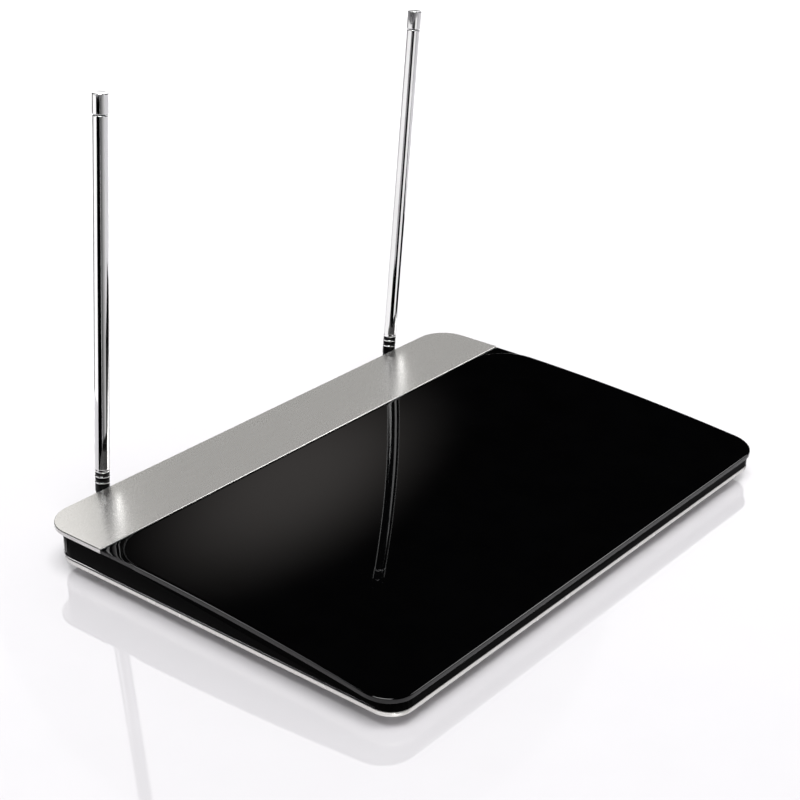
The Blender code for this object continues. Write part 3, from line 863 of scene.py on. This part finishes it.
def sun_light(name, energy, angle, tilt=(0, 0)):
    """A sun with a wide disc, angle and tilt in degrees."""
    data = bpy.data.lights.new(name, "SUN")
    data.energy = energy
    data.angle = radians(angle)
    item = bpy.data.objects.new(name, data)
    item.rotation_euler = (radians(tilt[0]), radians(tilt[1]), 0)
    bpy.context.scene.collection.objects.link(item)
    return item


REACH = 12.0                     # half width of the floor and radius of the backdrop
WALL_SIDES = 24
WALL_FOOT = -0.5
floor = stage_mesh("floor", [(-REACH, -REACH, 0), (REACH, -REACH, 0), (REACH, REACH, 0),
                             (-REACH, REACH, 0)], [(0, 1, 2, 3)], floor_material())

walls = [(REACH * cos(2 * pi * i / WALL_SIDES), REACH * sin(2 * pi * i / WALL_SIDES), z)
         for z in (WALL_FOOT, REACH) for i in range(WALL_SIDES)]
wall_faces = [(i, (i + 1) % WALL_SIDES, WALL_SIDES + (i + 1) % WALL_SIDES, WALL_SIDES + i)
              for i in range(WALL_SIDES)]
backdrop = stage_mesh("backdrop", walls, wall_faces, glowing("backdrop", (1, 1, 1), 1.0),
                      glossy=False, diffuse=False)
backdrop.visible_shadow = False

world = bpy.data.worlds.new("studio")
world.use_nodes = True
world.node_tree.nodes["Background"].inputs["Color"].default_value = (0.5, 0.5, 0.52, 1)
world.node_tree.nodes["Background"].inputs["Strength"].default_value = 0.001
bpy.context.scene.world = world

sun_light("overhead", 2.45, 36, (12, -13))
fill = sun_light("fill", 1.05, 160)

centre = Vector((0, 0, TOP_Z))


def towards(azimuth, elevation, distance):
    """A place seen from the base at an angle from +X, in degrees."""
    a, e = radians(azimuth), radians(elevation)
    return centre + distance * Vector((cos(a) * cos(e), sin(a) * cos(e), sin(e)))


WARM = (1, 0.99, 0.97)

# Each panel lights only the pieces named after it, so each finish has its own light.
floor_panel = area("floor_panel", towards(39, 30, 2.2), centre, 4.0, 3.0, 2.4)
floor_panel.visible_diffuse = False
only_for(floor_panel, floor)
only_for(fill, floor)
pieces = {item.name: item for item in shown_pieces()}
bright = [item for name, item in pieces.items() if item.get("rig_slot") == "chrome"]
dark = [item for name, item in pieces.items() if name.startswith("knuckle")]
trim_sheet, plate_field = pieces["trim_sheet"], pieces["plate_field"]
trim_panel = area("trim_panel", (-0.03, 0.25, 0.16), (-0.11, 0.066, TOP_Z), 0.12, 0.12, 0.75,
                  WARM)
only_for(trim_panel, trim_sheet)
trim_wash = area("trim_wash", towards(45, 30, 1.8), centre, 2.8, 1.8, 0.50, WARM)
only_for(trim_wash, trim_sheet)
rim_panel = area("rim_panel", towards(219, 10, 1.2), centre, 1.5, 0.5, 2.9, (1, 0.98, 0.95))
only_for(rim_panel, pieces["cover_tray"])
crown_panel = area("crown_panel", towards(42, 27, 1.6), centre, 1.6, 1.0, 1.6)
only_for(crown_panel, *bright)
for number, (azimuth, elevation) in enumerate(((-31, 36), (126, 44)), 1):
    edge_panel = area(f"edge_panel_{number}", towards(azimuth, elevation, 1.5), centre,
                      0.8, 0.6, 5.0)
    only_for(edge_panel, plate_field)
seam_panel = area("seam_panel", towards(-31, 36, 1.6), centre, 0.9, 0.8, 4.0)
seam_panel.visible_diffuse = False
only_for(seam_panel, trim_sheet)
for number, azimuth in enumerate((160, 278), 1):
    rod_panel = area(f"rod_panel_{number}", towards(azimuth, 26, 1.4), centre, 0.7, 0.9, 1.6)
    only_for(rod_panel, *bright, *dark)

# A faint round glow that the glossy plate mirrors.
GLOW_RADIUS = 0.8
GLOW_SIDES = 48
GLOW_FADE = 0.56                 # the light has died away at this radius
glow_place = towards(43.5, 29.3, 3.6)
disc = [(GLOW_RADIUS * cos(2 * pi * i / GLOW_SIDES), GLOW_RADIUS * sin(2 * pi * i / GLOW_SIDES), 0)
        for i in range(GLOW_SIDES)]
glow = stage_mesh("glow", disc, [tuple(range(GLOW_SIDES))],
                  glowing("glow", (1, 0.93, 0.89), 0.38, GLOW_FADE),
                  camera=False, diffuse=False)
glow.visible_shadow = False
glow.location = glow_place
glow.rotation_euler = (centre - glow_place).to_track_quat("Z", "Y").to_euler()
only_for(glow, plate_field)

# Cards of different brightness stand close beside each rod, for the bands in its plating.
# Only short rays from their inner side meet them.  They stay where the rod is at rest.
# Each is (start, end, strength, foot height), with angles about the rod in degrees from +X.
CARDS = {"left": ((60, 92, 0.0, 0.040), (106, 166, 1.25, 0.040), (170, 228, 0.0, 0.001),
                  (232, 246, 0.10, 0.001), (246, 260, 0.20, 0.001), (260, 274, 0.34, 0.001),
                  (274, 292, 0.52, 0.001)),
         "right": ((110, 196, 1.05, 0.001), (223, 254, 0.0, 0.001), (258, 288, 1.0, 0.001),
                   (294, 336, 0.0, 0.001))}
CARD_REACH = 0.055
CARD_TOP = 0.17
CARD_STEPS = 12
CARD_RANGE = (0.049, 0.070)      # ray lengths that meet a card
for rod_side, cards in CARDS.items():
    pin = Vector(JOINTS[f"fan_{rod_side}"]["pos_m"])
    for number, (start, end, strength, foot) in enumerate(cards, 1):
        angles = [radians(start + (end - start) * i / CARD_STEPS)
                  for i in range(CARD_STEPS + 1)]
        ring = [(pin.x + CARD_REACH * cos(a), pin.y + CARD_REACH * sin(a)) for a in angles]
        points = [(x, y, z) for z in (foot, CARD_TOP) for x, y in ring]
        faces = [(i, i + 1, CARD_STEPS + 2 + i, CARD_STEPS + 1 + i)
                 for i in range(CARD_STEPS)]
        name = f"card_{rod_side}_{number}"
        look = near_only(glowing(name, (1, 0.99, 0.99), strength), *CARD_RANGE)
        card = stage_mesh(name, points, faces, look, camera=False, diffuse=False)
        card.visible_shadow = False
        only_for(card, *bright)

# The bright flanks of each rod, as the satin trim under it sees them.  They ride on it.
FLANK_SIZE = (0.0012, 0.12)
FLANK_HEIGHT = 0.078
FLANK_AHEAD = 0.0035
FLANK_ASIDE = (-0.0045, 0.0010)
ASIDE = Vector((0.632, -0.774, 0))
AHEAD = Vector((-0.774, -0.632, 0))
FLANK_FACES = Vector((-0.774, -0.632, -0.1))
for rod_side in SIDES:
    for flank, aside in enumerate(FLANK_ASIDE, 1):
        strip = area(f"flank_{rod_side}_{flank}", (0, 0, 0), (0, -1, 0), *FLANK_SIZE, 3.5)
        place = rod_frame(rod_side) @ Vector((0, 0, FLANK_HEIGHT))
        strip.location = place + ASIDE * aside + AHEAD * FLANK_AHEAD
        strip.rotation_euler = FLANK_FACES.to_track_quat("-Z", "Y").to_euler()
        strip.visible_diffuse = False
        only_for(strip, trim_sheet)
        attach(strip, f"rod_{rod_side}")

camera_data = bpy.data.cameras.new("camera")
camera_data.lens = LENS_MM
camera_data.sensor_width = SENSOR_MM
camera_data.clip_start = 0.01
camera = bpy.data.objects.new("camera", camera_data)
back = CAMERA_RIGHT.cross(CAMERA_UP)
turn = Matrix((CAMERA_RIGHT, CAMERA_UP, back)).transposed().to_4x4()
camera_place = CAMERA_AT + Vector((0, SEAM_Y, TOP_Z))
camera.matrix_world = Matrix.Translation(camera_place) @ turn
bpy.context.scene.collection.objects.link(camera)
bpy.context.scene.camera = camera
bpy.context.scene.view_settings.view_transform = "Standard"
